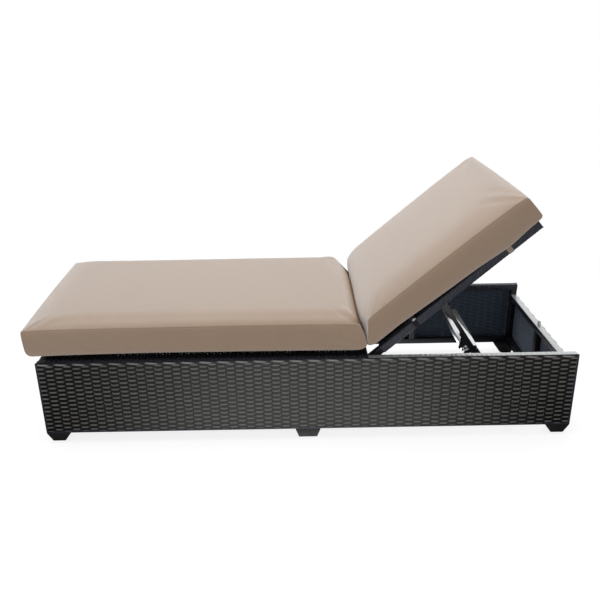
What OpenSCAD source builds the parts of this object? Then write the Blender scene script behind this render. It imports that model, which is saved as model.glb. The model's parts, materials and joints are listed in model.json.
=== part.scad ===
// Outdoor chaise lounge: a resin-wicker box base on six block feet, a seat deck, and a
// backrest frame that hinges on the base rims and is propped by two notched stays.
// Origin: middle of the outline, on the ground. +X runs to the head end, +Z is up.

/* [Base] */
// Length of the wicker base
base_l = 2010; // [1700:10:2200]
// Width of the wicker base
base_w = 770; // [680:10:900]
// Height of the base rims above the ground
rim_h = 345; // [300:5:420]
// Height of the panels' lower edge above the ground
foot_h = 47; // [40:1:70]
// Side of the square frame tube
tube = 25; // [20:1:30]
// Wall of the frame tube
tube_wall = 1.5; // [1.2:0.1:2.5]
// Thickness of the woven skin
skin = 3; // [2:0.5:5]
// How far the head end panel's top lies below the rims
head_drop = 50; // [44:1:70]
// Length of the open bay between the seat deck and the head end
head_bay = 778; // [740:2:900]
// Thickness of the woven decks
deck_t = 4; // [3:0.5:6]

/* [Feet] */
// Length of a corner foot where it meets the panel
corner_foot_l = 90; // [75:1:110]
// Length of a corner foot at the ground
corner_foot_base = 47; // [36:1:60]
// How far the outer side of a corner foot leans in
corner_foot_lean = 14; // [6:1:20]
// Length of a middle foot where it meets the panel
middle_foot_l = 95; // [80:1:120]
// Length of a middle foot at the ground
middle_foot_base = 70; // [50:1:78]
// Depth of a foot across the base
foot_deep = 70; // [55:1:90]
// Chamfer on the inner corner of a corner foot
foot_chamfer = 26; // [10:1:32]
// Diameter of a glide under a foot
glide_d = 22; // [16:1:30]
// Thickness of a glide
glide_t = 3; // [2:0.5:5]
// Diameter of the screw that holds a foot
foot_screw_d = 8; // [6:1:10]

/* [Backrest] */
// Distance of the hinge pins from the end of the seat deck
hinge_ahead = 20.7; // [19.5:0.1:28]
// Angle of the backrest in the photographed position
back_rest_angle = 41.4; // [30:0.1:50]
// Length of the back frame from the hinge pins
back_l = 760; // [640:5:790]
// Gap between the back frame's wrapped rails and the base's side rails
back_side_gap = 7; // [4:0.5:14]
// Side of a rail of the back frame with its wicker wrap
wrap = 32; // [29:0.5:36]
// Distance from the hinge pins to where the wrap starts
wrap_start = 44; // [34:1:60]
// Diameter of a hinge pin
pin_d = 10; // [8:0.5:12]
// Radial running clearance round a turning pin
run_gap = 0.05; // [0.02:0.01:0.1]

/* [Stays] */
// Distance of the stays' pivot from the hinge, along the back frame
stay_s = 320; // [300:1:340]
// Distance of the stays' pivot below the back frame's middle plane
stay_drop = 34; // [32:1:40]
// Thickness of a stay
stay_t = 5; // [3:0.5:6]
// Distance of a stay's inner face from the middle of the base
stay_y = 200; // [170:1:240]
// Distance from the pivot to the notch that is in use
notch_a = 254.5; // [244:0.5:262]
// Distance between two notches
notch_pitch = 38; // [34:0.5:42]
// Width of a notch
notch_w = 21; // [19.5:0.5:23]
// Angle of the stays below the horizontal in the photographed position
stay_angle = 58; // [56:0.5:60]
// Diameter of the stays' pivot rod
stay_rod_d = 8; // [6:0.5:10]

/* [Catch frame] */
// Width of the catch bar
catch_w = 60; // [50:1:70]
// Height of the catch bar's top face above the ground
catch_top = 295; // [285:1:300]
// Diameter of the pin at each end of the catch bar
catch_pin_d = 18; // [14:0.5:18.5]
// Steepness of the catch legs
catch_leg_angle = 56.4; // [50:0.1:65]

/* [Cushions] */
// How far the seat cushion hangs over the foot end
seat_overhang = 33; // [0:1:45]
// Height of a cushion's lower seam above what it lies on
seam_low = 32; // [22:1:44]
// Height of a cushion's upper seam above what it lies on
seam_high = 126; // [100:1:140]
// How far a cushion's top rises above its upper seam
crown = 24; // [10:1:34]
// How far the sides of a cushion draw in between its corners
draw_in = 9; // [3:1:14]
// How far the boxing swells beyond the seams
swell = 5; // [2:0.5:9]
// How far the back cushion hangs over the upper end of the back frame
back_overhang = 23; // [4:1:30]
// Width of a cushion strap
strap_w = 20; // [16:1:30]

/* [Hidden] */

// Facets of round pieces, and of the rounded corners of a hull
round_fn = 48;
hull_fn = 24;
// Overrun of a cut past the face that it opens
over = 1;
// Gap left between curved or slanted pieces that are welded or sewn together
seat_gap = 0.2;
// Gap between moving faces
move_gap = 0.3;

// Placing of the base: the seat cushion's overhang counts in the whole length
whole_l = base_l + seat_overhang;
foot_x = -whole_l / 2 + seat_overhang;
head_x = foot_x + base_l;
side_y = base_w / 2;
// Outer and inner faces of the side tubes
tube_out = side_y - skin;
tube_in = tube_out - tube;
rim_top = rim_h - skin;
rim_low = rim_top - tube;
head_h = rim_h - head_drop;
head_rim_top = head_h - skin;
panel_top = foot_h + tube;
end_out_foot = foot_x + skin;
end_out_head = head_x - skin;
deck_l = base_l - head_bay;
deck_end = foot_x + deck_l;
deck_low = rim_h - deck_t;

// Posts stand at shares of the base length
post_shares = [0, 0.25, 0.5, 0.76, 1];
// Cross rails of the seat deck stand at shares of the deck length
deck_rail_shares = [0.2, 0.4, 0.6, 0.8, 1];
foot_screw_l = 30;
foot_screw_head_d = 16;
foot_screw_head_t = 4;
foot_side = 4;

// Hinge line of the backrest
hinge_px = deck_end + hinge_ahead;
hinge_pz = rim_low + tube / 2;
back_out = tube_in - back_side_gap;
rail_mid = back_out - wrap / 2;
rail_in = rail_mid - tube / 2;
rail_out = rail_mid + tube / 2;
rail_tail = 14;
bush_wall = 2;
bolt_head_d = 17;
bolt_head_t = 6;
nut_af_r = 9;
nut_t = 8;
nut_fn = 6;
spacer_d = 22;
plug_lip = 2;
plug_tail = 12;
plug_slack = 0.1;
back_deck_side_gap = 1;
back_rail_shares = [0.09, 0.68];

// Pivot and direction of the stays
lug_t = 5;
lug_w = 30;
lug_gap = 0.8;
rod_cap_d = 16;
rod_cap_t = 5;
stay_tube_wall = 2.5;
eye_r = 14;
stay_tail = 18;
stay_end = notch_a + 2 * notch_pitch + stay_tail;
notch_b = 17;
hook_tip_b = 40;
hook_low_b = 30;
tooth_flat = 3;
tooth_tip = 8;
notch_round = 6;
heel_b = 14;
shank_b = 4;
flare_share = 0.4;
waist_shares = [0.36, 0.47, 0.62];
collar_b = 15;
barb_b = 12;
barb_a = 64;
barb_w = 10;
hook_round = 2.5;

// Place of the catch frame, set by the notch that is in use
stay_px = hinge_px + stay_s * cos(back_rest_angle) + stay_drop * sin(back_rest_angle);
stay_pz = hinge_pz + stay_s * sin(back_rest_angle) - stay_drop * cos(back_rest_angle);
notch_px = stay_px + notch_a * cos(stay_angle) - notch_b * sin(stay_angle);
catch_pin_inset = 12;
catch_x = notch_px - catch_pin_inset;
catch_low = catch_top - tube;
catch_pin_z = catch_top - catch_pin_d / 2 - seat_gap;
catch_pin_stem = 12;
catch_end = stay_y - catch_pin_stem;
catch_stop_gap = 0.8;
catch_leg_in = 1;
leg_w = tube / sin(catch_leg_angle);
leg_drop = catch_low - panel_top;
leg_run = leg_drop / tan(catch_leg_angle);
leg_top_x = catch_x + catch_w;
leg_foot_x = leg_top_x + leg_run;

// Buffer on the head end panel
buffer_d = 14;
buffer_h = hinge_pz - wrap / 2 - head_h - move_gap;
buffer_chamfer = 3;

// Cushion outline and grid
cushion_w = base_w;
back_cushion_end = back_l + back_overhang;
cushion_lie = 0.3;
corner_r = 26;
side_n = 14;
end_n = 10;
corner_n = 4;
seat_cushion_gap = 5;
crease_clear = 2;
back_max_angle = 55;
// Rings of a cushion, as shares of its outline or of its boxing's height
top_ring_shares = [0.985, 0.95, 0.88, 0.76, 0.56, 0.3];
low_ring_shares = [0.5, 0.8, 0.9, 0.96, 0.985];
band_ring_shares = [0.25, 0.5, 0.75];
// How sharply the underside, the top and the drawn sides turn near the edges
low_power = 14;
crown_l_power = 9;
crown_w_power = 3.2;
draw_power = 12;
strap_t = 1.6;
strap_rise = 4;
// Places of the straps along the back frame, as shares of its length
upper_strap_share = 0.826;
lower_strap_share = 0.27;

// Box given by its lowest and highest corner
module block(lo, hi) {
    translate(lo) cube(hi - lo);
}

// Square tube along X, Y or Z, given by its lowest and highest corner
module box_tube(lo, hi, along) {
    in = [for (i = [0:2]) i == along ? -over : tube_wall];
    difference() {
        block(lo, hi);
        block(lo + in, hi - in);
    }
}

// Child pieces on the near side and mirrored to the far side
module both_sides() {
    children();
    mirror([0, 1, 0]) children();
}

// Children given in the back frame's own axes: X along the frame, Z square to it
module on_back(angle = back_rest_angle) {
    translate([hinge_px, 0, hinge_pz]) rotate([0, -angle, 0]) children();
}

// Children given in a stay's own axes: X along the stay, Z away from the teeth
module on_stay() {
    translate([stay_px, 0, stay_pz]) rotate([0, stay_angle, 0]) children();
}

// Round bar along Y between two places
module bar_y(d, y0, y1) {
    translate([0, y0, 0]) rotate([-90, 0, 0]) cylinder(d = d, h = y1 - y0, $fn = round_fn);
}

// Base frame
module side_top_rails() {
    color([0.16, 0.15, 0.15]) both_sides() difference() {
        box_tube([end_out_foot, -tube_out, rim_low], [end_out_head, -tube_in, rim_top], 0);
        translate([hinge_px, 0, hinge_pz])
            bar_y(pin_d + 2 * run_gap, -tube_in - tube_wall - over, -tube_in + over);
    }
}

module side_bottom_rails() {
    color([0.16, 0.15, 0.15]) both_sides() difference() {
        box_tube([end_out_foot, -tube_out, foot_h], [end_out_head, -tube_in, panel_top], 0);
        foot_holes();
    }
}

module side_posts() {
    run = end_out_head - end_out_foot - tube;
    color([0.16, 0.15, 0.15]) both_sides() for (share = post_shares) {
        x = end_out_foot + run * share;
        box_tube([x, -tube_out, panel_top], [x + tube, -tube_in, rim_low], 2);
    }
}

module end_rails() {
    color([0.16, 0.15, 0.15]) {
        for (z = [foot_h, rim_low])
            box_tube([end_out_foot, -tube_in, z], [end_out_foot + tube, tube_in, z + tube], 1);
        for (z = [foot_h, head_rim_top - tube])
            box_tube([end_out_head - tube, -tube_in, z], [end_out_head, tube_in, z + tube], 1);
    }
}

module end_posts() {
    color([0.16, 0.15, 0.15]) {
        box_tube([end_out_foot, -tube / 2, panel_top], [end_out_foot + tube, tube / 2, rim_low], 2);
        box_tube([end_out_head - tube, -tube / 2, panel_top],
                 [end_out_head, tube / 2, head_rim_top - tube], 2);
    }
}

// Woven skin over one long side, with its cap over the top rail
module side_weave() {
    translate([foot_x, 0, 0]) rotate([90, 0, 90]) linear_extrude(base_l)
        polygon([[-side_y, foot_h], [-tube_out, foot_h], [-tube_out, rim_top],
                 [-tube_in, rim_top], [-tube_in, rim_h], [-side_y, rim_h]]);
}

module near_side_weave() {
    color([0.27, 0.26, 0.25]) side_weave();
}

module far_side_weave() {
    color([0.27, 0.26, 0.25]) mirror([0, 1, 0]) side_weave();
}

// Woven skin over an end, from its outer face inwards, up to a height. Its topmost strip
// is as wide as the side skins' caps leave it.
module end_weave(out, inwards, top, top_half) {
    face = out + inwards * skin;
    inner = face + inwards * tube;
    module strip(half, points) {
        translate([0, half, 0]) rotate([90, 0, 0]) linear_extrude(2 * half) polygon(points);
    }
    strip(tube_out, [[out, foot_h], [face, foot_h], [face, top - skin], [out, top - skin]]);
    strip(top_half, [[out, top - skin], [face, top - skin], [face, top], [out, top]]);
    strip(tube_in, [[face, top - skin], [inner, top - skin], [inner, top], [face, top]]);
}

module foot_end_weave() {
    color([0.27, 0.26, 0.25]) end_weave(foot_x, 1, rim_h, tube_in);
}

module head_end_weave() {
    color([0.27, 0.26, 0.25]) end_weave(head_x, -1, head_h, tube_out);
}

// Seat deck
module deck_bearers() {
    color([0.14, 0.13, 0.13]) both_sides()
        box_tube([end_out_foot + tube, -tube_in, deck_low - tube],
                 [deck_end, -tube_in + tube, deck_low], 0);
}

module deck_cross_rails() {
    start = end_out_foot + tube;
    color([0.14, 0.13, 0.13]) for (share = deck_rail_shares) {
        x = start + (deck_end - start) * share;
        box_tube([x - tube, -tube_in + tube, deck_low - tube], [x, tube_in - tube, deck_low], 1);
    }
}

module seat_deck_weave() {
    color([0.1, 0.1, 0.11])
        block([end_out_foot + tube, -tube_in, deck_low], [deck_end, tube_in, rim_h]);
}

// Feet
module corner_foot() {
    top_lo = [foot_x, -side_y];
    lean = corner_foot_lean;
    hull() {
        translate([0, 0, foot_h - foot_side]) linear_extrude(foot_side)
            polygon([top_lo, top_lo + [corner_foot_l, 0],
                     top_lo + [corner_foot_l, foot_deep - foot_chamfer],
                     top_lo + [corner_foot_l - foot_chamfer, foot_deep], top_lo + [0, foot_deep]]);
        translate([0, 0, glide_t]) linear_extrude(foot_side)
            polygon([top_lo + [lean, lean], top_lo + [lean + corner_foot_base, lean],
                     top_lo + [lean + corner_foot_base, corner_foot_base],
                     top_lo + [corner_foot_base, lean + corner_foot_base],
                     top_lo + [lean, lean + corner_foot_base]]);
    }
}

module mirror_x() {
    children();
    translate([foot_x + head_x, 0, 0]) mirror([1, 0, 0]) children();
}

module corner_feet() {
    color([0.2, 0.2, 0.21]) both_sides() difference() {
        mirror_x() corner_foot();
        foot_holes();
    }
}

module middle_feet() {
    middle = (foot_x + head_x) / 2;
    in = (middle_foot_l - middle_foot_base) / 2;
    color([0.2, 0.2, 0.21]) both_sides() difference() {
        hull() {
            block([middle - middle_foot_l / 2, -side_y, foot_h - foot_side],
                  [middle + middle_foot_l / 2, -side_y + foot_deep, foot_h]);
            block([middle - middle_foot_base / 2, -side_y + in, glide_t],
                  [middle + middle_foot_base / 2, -side_y + foot_deep - in, glide_t + foot_side]);
        }
        foot_holes();
    }
}

// Places of the six feet's middles on the ground
foot_places = [
    [foot_x + corner_foot_lean + corner_foot_base / 2, -side_y + corner_foot_lean + corner_foot_base / 2],
    [(foot_x + head_x) / 2, -side_y + foot_deep / 2],
    [head_x - corner_foot_lean - corner_foot_base / 2, -side_y + corner_foot_lean + corner_foot_base / 2]
];

module foot_glides() {
    color([0.08, 0.08, 0.08]) both_sides() for (place = foot_places)
        translate(place) cylinder(d = glide_d, h = glide_t, $fn = round_fn);
}

// Child pieces at the three feet of the near side, under the middle of the bottom rail
module at_feet() {
    for (place = foot_places) translate([place[0], -tube_out + tube / 2, foot_h]) children();
}

module foot_holes() {
    at_feet() translate([0, 0, -foot_screw_l]) cylinder(d = foot_screw_d + 2 * run_gap,
                                                       h = foot_screw_l + tube_wall + over, $fn = round_fn);
}

module foot_screws() {
    color([0.6, 0.6, 0.62]) both_sides() at_feet() {
        translate([0, 0, tube_wall]) cylinder(d = foot_screw_head_d, h = foot_screw_head_t, $fn = round_fn);
        translate([0, 0, -foot_screw_l + over])
            cylinder(d = foot_screw_d, h = foot_screw_l - over + tube_wall, $fn = round_fn);
    }
}

// Catch frame
module catch_bar() {
    color([0.78, 0.79, 0.8])
        box_tube([catch_x, -catch_end, catch_low], [catch_x + catch_w, catch_end, catch_top], 1);
}

module catch_pins() {
    color([0.7, 0.71, 0.73]) both_sides() translate([notch_px, 0, catch_pin_z])
        bar_y(catch_pin_d, -stay_y + catch_stop_gap, -catch_end);
}

module catch_legs() {
    y0 = -catch_end + catch_leg_in;
    color([0.16, 0.15, 0.15]) both_sides() translate([0, y0 + tube, 0]) rotate([90, 0, 0])
        linear_extrude(tube)
            polygon([[leg_top_x - leg_w, catch_low], [leg_top_x, catch_low],
                     [leg_foot_x, panel_top], [leg_foot_x - leg_w, panel_top]]);
}

module catch_cross_rail() {
    x = leg_foot_x - (leg_w + tube) / 2;
    color([0.16, 0.15, 0.15]) box_tube([x, -tube_in, foot_h], [x + tube, tube_in, panel_top], 1);
}

module head_buffer() {
    r = buffer_d / 2;
    color([0.75, 0.77, 0.77]) translate([end_out_head - tube / 2, 0, head_h])
        rotate_extrude($fn = round_fn)
            polygon([[0, 0], [r, 0], [r, buffer_h - buffer_chamfer], [r - buffer_chamfer, buffer_h],
                     [0, buffer_h]]);
}

// Hinge pieces
module hinge_bolts() {
    head_out = rail_in - move_gap;
    color([0.62, 0.63, 0.65]) both_sides() translate([hinge_px, 0, hinge_pz]) {
        bar_y(pin_d, -tube_in - tube / 2, -head_out);
        bar_y(bolt_head_d, -head_out, -head_out + bolt_head_t);
    }
}

module hinge_nuts() {
    y = -tube_in - tube_wall;
    color([0.55, 0.56, 0.58]) both_sides() translate([hinge_px, 0, hinge_pz]) difference() {
        translate([0, y - nut_t, 0]) rotate([-90, 0, 0]) cylinder(r = nut_af_r, h = nut_t, $fn = nut_fn);
        bar_y(pin_d + 2 * run_gap, y - nut_t - over, y + over);
    }
}

module hinge_spacers() {
    color([0.12, 0.12, 0.12]) both_sides() translate([hinge_px, 0, hinge_pz]) difference() {
        bar_y(spacer_d, -tube_in, -rail_out - move_gap);
        bar_y(pin_d + 2 * run_gap, -tube_in - over, -rail_out - move_gap + over);
    }
}

// Back frame, in its own axes
module back_side_rails() {
    color([0.16, 0.15, 0.15]) on_back() both_sides() difference() {
        box_tube([-rail_tail, -rail_out, -tube / 2], [back_l, -rail_in, tube / 2], 0);
        bar_y(pin_d + 2 * bush_wall + 2 * run_gap, -rail_out - over, -rail_in + over);
    }
}

module hinge_bushes() {
    color([0.85, 0.84, 0.8]) on_back() both_sides() difference() {
        bar_y(pin_d + 2 * bush_wall, -rail_out, -rail_in);
        bar_y(pin_d + 2 * run_gap, -rail_out - over, -rail_in + over);
    }
}

module back_rail_wraps() {
    color([0.2, 0.2, 0.23]) on_back() both_sides() difference() {
        block([wrap_start, -back_out, -wrap / 2], [back_l, -back_out + wrap, wrap / 2]);
        block([wrap_start - over, -rail_out, -tube / 2], [back_l + over, -rail_in, tube / 2]);
    }
}

module back_top_rail() {
    color([0.16, 0.15, 0.15]) on_back()
        box_tube([back_l - wrap, -back_out + wrap, -tube / 2],
                 [back_l - wrap + tube, back_out - wrap, tube / 2], 1);
}

module back_top_wrap() {
    x = back_l - wrap;
    color([0.2, 0.2, 0.23]) on_back() difference() {
        block([x - skin, -back_out + wrap, -wrap / 2], [back_l, back_out - wrap, wrap / 2]);
        block([x, -back_out + wrap - over, -tube / 2], [x + tube, back_out - wrap + over, tube / 2]);
    }
}

module back_cross_rails() {
    color([0.16, 0.15, 0.15]) on_back() {
        for (share = back_rail_shares) {
            x = back_l * share;
            box_tube([x - tube, -back_out + wrap, -tube / 2], [x, back_out - wrap, tube / 2], 1);
        }
        box_tube([stay_s - tube / 2, -back_out + wrap, -tube / 2],
                 [stay_s + tube / 2, back_out - wrap, tube / 2], 1);
    }
}

module back_deck_weave() {
    edge = back_out - wrap - back_deck_side_gap;
    color([0.1, 0.1, 0.11]) on_back()
        block([back_l * back_rail_shares[0] - tube, -edge, tube / 2],
              [back_l - wrap - skin, edge, wrap / 2]);
}

module rail_end_plugs() {
    hollow = tube - 2 * tube_wall - 2 * plug_slack;
    color([0.05, 0.05, 0.05]) on_back() both_sides() translate([back_l, -rail_mid, 0]) {
        block([0, -wrap / 2, -wrap / 2], [plug_lip, wrap / 2, wrap / 2]);
        block([-plug_tail, -hollow / 2, -hollow / 2], [0, hollow / 2, hollow / 2]);
    }
}

// Lugs that hang from the middle cross rail and carry the stays' rod
module stay_lugs() {
    lug_y = -stay_y - stay_t - lug_gap;
    color([0.2, 0.2, 0.2]) on_back() both_sides() difference() {
        translate([stay_s, lug_y, 0]) rotate([90, 0, 0]) linear_extrude(lug_t) union() {
            translate([-lug_w / 2, -stay_drop]) square([lug_w, stay_drop - tube / 2]);
            translate([0, -stay_drop]) circle(d = lug_w, $fn = round_fn);
        }
        translate([stay_s, 0, -stay_drop])
            bar_y(stay_rod_d + 2 * run_gap, lug_y - lug_t - over, lug_y + over);
    }
}

module stay_rod() {
    end = stay_y + stay_t + lug_gap + lug_t + rod_cap_t / 2;
    color([0.7, 0.71, 0.73]) on_back() translate([stay_s, 0, -stay_drop]) bar_y(stay_rod_d, -end, end);
}

module stay_rod_caps() {
    y = -stay_y - stay_t - lug_gap - lug_t;
    color([0.06, 0.06, 0.06]) on_back() both_sides() translate([stay_s, 0, -stay_drop]) difference() {
        bar_y(rod_cap_d, y - rod_cap_t, y);
        bar_y(stay_rod_d + 2 * run_gap, y - rod_cap_t / 2 - run_gap, y + over);
    }
}

// Outline of a stay: x along the stay from its pivot, y towards its teeth
module stay_shape() {
    waist_a = [for (share = waist_shares) notch_a * share];
    barb_at = notch_a - barb_a;
    mouth = notch_w / 2;
    difference() {
        offset(r = hook_round, $fn = hull_fn) offset(delta = -hook_round) union() {
            circle(r = eye_r, $fn = round_fn);
            polygon([
                [0, -heel_b], [waist_a[0], -heel_b], [waist_a[1], -heel_b + shank_b / 2],
                [notch_a, -heel_b], [stay_end, -heel_b - shank_b / 2],
                [stay_end, hook_tip_b * flare_share],
                for (k = [2:-1:0]) let (c = notch_a + k * notch_pitch)
                    each [[c + mouth + tooth_flat, hook_low_b], [c + mouth, hook_low_b],
                          [c - mouth, hook_tip_b], [c - mouth - tooth_tip, hook_tip_b]],
                [barb_at + barb_w, shank_b + barb_w / 2], [barb_at, barb_b],
                [barb_at - barb_w, shank_b], [waist_a[2], shank_b], [waist_a[1], shank_b],
                [waist_a[0], collar_b], [0, collar_b]
            ]);
        }
        for (k = [0:2]) translate([notch_a + k * notch_pitch - mouth, notch_b - mouth])
            offset(r = notch_round, $fn = hull_fn) offset(delta = -notch_round)
                square([notch_w, hook_tip_b + notch_round]);
    }
}

module stay_plate() {
    difference() {
        translate([0, -stay_y, 0]) rotate([90, 0, 0]) linear_extrude(stay_t) mirror([0, 1]) stay_shape();
        bar_y(stay_rod_d + 2 * run_gap, -stay_y - stay_t - over, -stay_y + over);
    }
}

module near_stay() {
    color([0.2, 0.19, 0.2]) on_stay() stay_plate();
}

module far_stay() {
    color([0.2, 0.19, 0.2]) on_stay() mirror([0, 1, 0]) stay_plate();
}

module stay_tube() {
    d = stay_rod_d + 2 * run_gap;
    color([0.2, 0.19, 0.2]) on_stay() difference() {
        bar_y(d + 2 * stay_tube_wall, -stay_y, stay_y);
        bar_y(d, -stay_y - over, stay_y + over);
    }
}

// Cushions: rings of points round one outline, from the middle of the underside over the
// boxing to the middle of the top. Shares run from -1 to 1 across length and width.
function outline(l, w, r) = let (hl = l / 2 - r, hw = w / 2 - r) concat(
    [for (i = [0:side_n - 1]) [-hl + 2 * hl * i / side_n, -w / 2]],
    [for (i = [0:corner_n - 1]) let (a = -90 + 90 * i / corner_n) [hl + r * cos(a), -hw + r * sin(a)]],
    [for (i = [0:end_n - 1]) [l / 2, -hw + 2 * hw * i / end_n]],
    [for (i = [0:corner_n - 1]) let (a = 90 * i / corner_n) [hl + r * cos(a), hw + r * sin(a)]],
    [for (i = [0:side_n - 1]) [hl - 2 * hl * i / side_n, w / 2]],
    [for (i = [0:corner_n - 1]) let (a = 90 + 90 * i / corner_n) [-hl + r * cos(a), hw + r * sin(a)]],
    [for (i = [0:end_n - 1]) [-l / 2, hw - 2 * hw * i / end_n]],
    [for (i = [0:corner_n - 1]) let (a = 180 + 90 * i / corner_n) [-hl + r * cos(a), -hw + r * sin(a)]]
);

// Distance of a point from the cushion's middle, as shares of its half length and width
function shares_of(p, l, w) = [2 * p[0] / l, 2 * p[1] / w];

// How much of the draw-in a point of the outline takes: all at mid side, none at a corner
function drawn(f) = [(1 - f[1] * f[1]) * sign(f[0]) * pow(abs(f[0]), draw_power),
                     (1 - f[0] * f[0]) * sign(f[1]) * pow(abs(f[1]), draw_power)];

// Height of the underside and of the top at a point given in shares
function low_z(f) = seam_low * max(pow(abs(f[0]), low_power), pow(abs(f[1]), low_power));
function top_z(f) = seam_high + crown * (1 - pow(abs(f[0]), crown_l_power))
    * (1 - pow(abs(f[1]), crown_w_power));

// One ring, shrunk by a share; a height below zero asks for the underside, above one
// for the top, and between them for that share of the boxing
function ring(pts, l, w, share, t) = [for (p = pts) let (f = share * shares_of(p, l, w),
    d = drawn(shares_of(p, l, w)), out = draw_in - swell * sin(180 * max(0, min(1, t))))
    [share * (p[0] - out * d[0]), share * (p[1] - out * d[1]),
     t < 0 ? low_z(f) : t > 1 ? top_z(f) : seam_low + (seam_high - seam_low) * t]];

function cushion_rings(l, w) = let (pts = outline(l, w, corner_r)) concat(
    [for (share = low_ring_shares) ring(pts, l, w, share, -1)],
    [for (t = concat([0], band_ring_shares, [1])) ring(pts, l, w, 1, t)],
    [for (share = top_ring_shares) ring(pts, l, w, share, 2)]
);

// The two slants are how far each end leans in per unit of height
module cushion(l, w, low_slant, high_slant) {
    rings = cushion_rings(l, w);
    n = len(rings[0]);
    m = len(rings);
    function lean(p) = let (t = p[0] / l + 1 / 2)
        [p[0] + p[2] * (low_slant * (1 - t) - high_slant * t), p[1], p[2]];
    points = concat([for (r = rings) for (p = r) lean(p)],
                    [lean([0, 0, 0]), lean([0, 0, seam_high + crown])]);
    faces = concat(
        [for (k = [0:m - 2]) for (i = [0:n - 1]) let (a = k * n + i, b = k * n + (i + 1) % n)
            each [[a, a + n, b], [b, a + n, b + n]]],
        [for (i = [0:n - 1]) [m * n, i, (i + 1) % n]],
        [for (i = [0:n - 1]) [m * n + 1, (m - 1) * n + (i + 1) % n, (m - 1) * n + i]]
    );
    polyhedron(points, faces, convexity = 2);
}

seat_cushion_l = seat_overhang + deck_l - seat_cushion_gap;

module seat_cushion() {
    color([0.76, 0.69, 0.63]) translate([-whole_l / 2 + seat_cushion_l / 2, 0, rim_h + cushion_lie])
        cushion(seat_cushion_l, cushion_w, 0, 0);
}

// The back cushion's lower end leans so that it stays clear of the seat cushion when the
// back is raised to its highest
back_cushion_slant = tan(back_max_angle);
back_cushion_low = (seat_cushion_l - whole_l / 2 - hinge_px) / cos(back_max_angle)
    + (wrap / 2 + cushion_lie) * tan(back_max_angle) + crease_clear;

module back_cushion() {
    l = back_cushion_end - back_cushion_low;
    color([0.76, 0.69, 0.63]) on_back() translate([back_cushion_low + l / 2, 0, wrap / 2 + cushion_lie])
        cushion(l, cushion_w, back_cushion_slant, 0);
}

// Strap that passes round the outside of a wrapped rail, from cushion to cushion
module rail_strap(share) {
    s = back_l * share;
    half = wrap / 2 + seat_gap;
    outer = half + strap_t;
    on_back() translate([s - strap_w / 2, -rail_mid, 0]) difference() {
        block([0, -outer, -outer], [strap_w, outer, half + strap_rise]);
        block([-over, -half, -half], [strap_w + over, half, half + strap_rise + over]);
        block([-over, 0, tube / 2 - seat_gap], [strap_w + over, outer + over, half + strap_rise + over]);
    }
}

module upper_straps() {
    color([0.72, 0.65, 0.58]) both_sides() rail_strap(upper_strap_share);
}

module lower_straps() {
    color([0.72, 0.65, 0.58]) both_sides() rail_strap(lower_strap_share);
}

side_top_rails();
side_bottom_rails();
side_posts();
end_rails();
end_posts();
near_side_weave();
far_side_weave();
foot_end_weave();
head_end_weave();
deck_bearers();
deck_cross_rails();
seat_deck_weave();
corner_feet();
middle_feet();
foot_glides();
foot_screws();
catch_bar();
catch_pins();
catch_legs();
catch_cross_rail();
head_buffer();
hinge_bolts();
hinge_nuts();
hinge_spacers();
seat_cushion();
back_side_rails();
back_rail_wraps();
back_cross_rails();
back_top_rail();
back_top_wrap();
back_deck_weave();
rail_end_plugs();
hinge_bushes();
stay_lugs();
stay_rod();
stay_rod_caps();
back_cushion();
upper_straps();
lower_straps();
near_stay();
far_stay();
stay_tube();
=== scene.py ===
import json
import math

import bmesh
import bpy
import numpy as np
from mathutils import Matrix, Vector


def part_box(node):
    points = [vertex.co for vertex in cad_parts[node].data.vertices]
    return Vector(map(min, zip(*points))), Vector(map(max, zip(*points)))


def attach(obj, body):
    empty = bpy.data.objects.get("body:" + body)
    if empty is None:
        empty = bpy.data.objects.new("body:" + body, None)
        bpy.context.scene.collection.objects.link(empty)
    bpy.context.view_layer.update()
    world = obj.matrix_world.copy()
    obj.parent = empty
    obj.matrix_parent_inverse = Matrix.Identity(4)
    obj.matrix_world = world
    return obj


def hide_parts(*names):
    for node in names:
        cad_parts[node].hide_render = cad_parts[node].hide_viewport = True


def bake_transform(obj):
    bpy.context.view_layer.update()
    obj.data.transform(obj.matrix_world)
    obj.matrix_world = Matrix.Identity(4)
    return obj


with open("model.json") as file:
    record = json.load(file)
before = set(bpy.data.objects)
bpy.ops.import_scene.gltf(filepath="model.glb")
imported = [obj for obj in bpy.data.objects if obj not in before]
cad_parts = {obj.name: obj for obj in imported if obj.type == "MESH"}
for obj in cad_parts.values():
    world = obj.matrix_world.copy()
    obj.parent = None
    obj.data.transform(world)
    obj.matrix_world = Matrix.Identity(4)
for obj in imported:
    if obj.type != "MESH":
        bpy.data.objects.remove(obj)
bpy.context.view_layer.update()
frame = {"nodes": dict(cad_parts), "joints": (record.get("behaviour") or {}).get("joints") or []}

# Camera, at the photograph's viewing angle
eye = bpy.data.cameras.new("eye")
eye.lens = 40.72
eye.sensor_width = 36
eye_holder = bpy.data.objects.new("eye", eye)
bpy.context.scene.collection.objects.link(eye_holder)
eye_holder.location = (-0.0065, -2.630, 1.473)
eye_holder.rotation_euler = [math.radians(degrees) for degrees in (68.307, 0.920, -0.376)]
bpy.context.scene.camera = eye_holder

# Sizes, in metres. The outer ones are read from the frame's nodes.
near_lo, near_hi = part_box("near_side_weave")
deck_lo, deck_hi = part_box("seat_deck_weave")
foot_x, head_x = near_lo.x, near_hi.x
side_y = -near_lo.y
panel_low, rim_top = near_lo.z, near_hi.z
head_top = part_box("head_end_weave")[1].z
skin = 0.003
tube = 0.025
hinge = Vector(frame["joints"][0]["pos_m"])
back_angle = math.radians(41.4)
back_l = 0.760
back_out = 0.350
wrap = 0.032
slack = 0.001
# In degrees, how sharp an edge is still shaded smooth
round_angle = 40


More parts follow.
